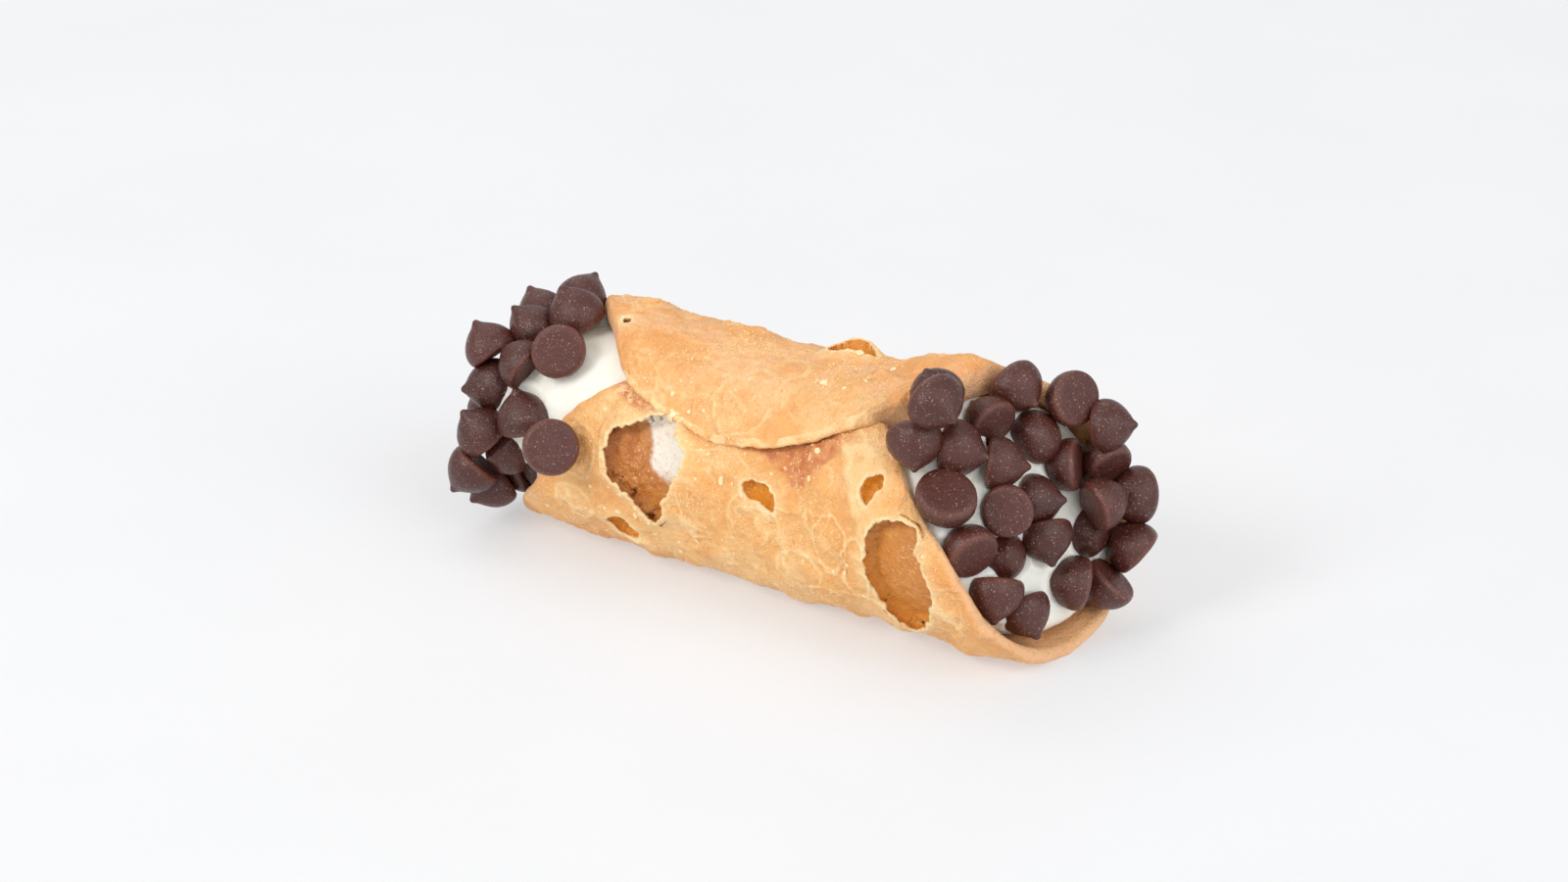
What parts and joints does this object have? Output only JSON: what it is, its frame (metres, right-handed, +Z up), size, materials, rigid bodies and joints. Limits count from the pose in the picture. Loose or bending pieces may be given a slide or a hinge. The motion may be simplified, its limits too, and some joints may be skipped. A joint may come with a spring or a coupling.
{
  "type": "cannoli",
  "caption": "Rolled fried pastry tube with a lapped flap and broken blisters, filled with white cream, with chocolate drops pressed into the cream at both open ends.",
  "frame": {"origin": "middle of the roll's length, on the flat strip it rests on", "axes": "+X along the roll toward its wider end, +Z up, the lapped flap hangs on the -Y side"},
  "size_m": [0.0816, 0.0337, 0.0339],
  "materials": {
    "pastry": "fried pastry, matte with a slight oily sheen",
    "cream": "soft smooth cream",
    "chocolate": "dark chocolate, satin with a dusty bloom"
  },
  "bodies": {
    "root": {"shell": "pastry", "filling": "cream", "right_drop_01": "chocolate", "right_drop_02": "chocolate", "right_drop_03": "chocolate", "right_drop_04": "chocolate", "right_drop_05": "chocolate", "right_drop_06": "chocolate", "right_drop_07": "chocolate", "right_drop_08": "chocolate", "right_drop_09": "chocolate", "right_drop_10": "chocolate", "right_drop_11": "chocolate", "right_drop_12": "chocolate", "right_drop_13": "chocolate", "right_drop_14": "chocolate", "right_drop_15": "chocolate", "right_drop_16": "chocolate", "right_drop_17": "chocolate", "right_drop_18": "chocolate", "right_drop_19": "chocolate", "right_drop_20": "chocolate", "right_drop_21": "chocolate", "right_drop_22": "chocolate", "right_drop_23": "chocolate", "right_drop_24": "chocolate", "right_drop_25": "chocolate", "right_drop_26": "chocolate", "left_drop_01": "chocolate", "left_drop_02": "chocolate", "left_drop_03": "chocolate", "left_drop_04": "chocolate", "left_drop_05": "chocolate", "left_drop_06": "chocolate", "left_drop_07": "chocolate", "left_drop_08": "chocolate", "left_drop_09": "chocolate", "left_drop_10": "chocolate", "left_drop_11": "chocolate", "left_drop_12": "chocolate", "left_drop_13": "chocolate", "left_drop_14": "chocolate", "left_drop_15": "chocolate", "left_drop_16": "chocolate", "left_drop_17": "chocolate", "left_drop_18": "chocolate", "left_drop_19": "chocolate", "left_drop_20": "chocolate", "left_drop_21": "chocolate", "left_drop_22": "chocolate", "left_drop_23": "chocolate", "left_drop_24": "chocolate", "left_drop_25": "chocolate"}
  },
  "joints": []
}
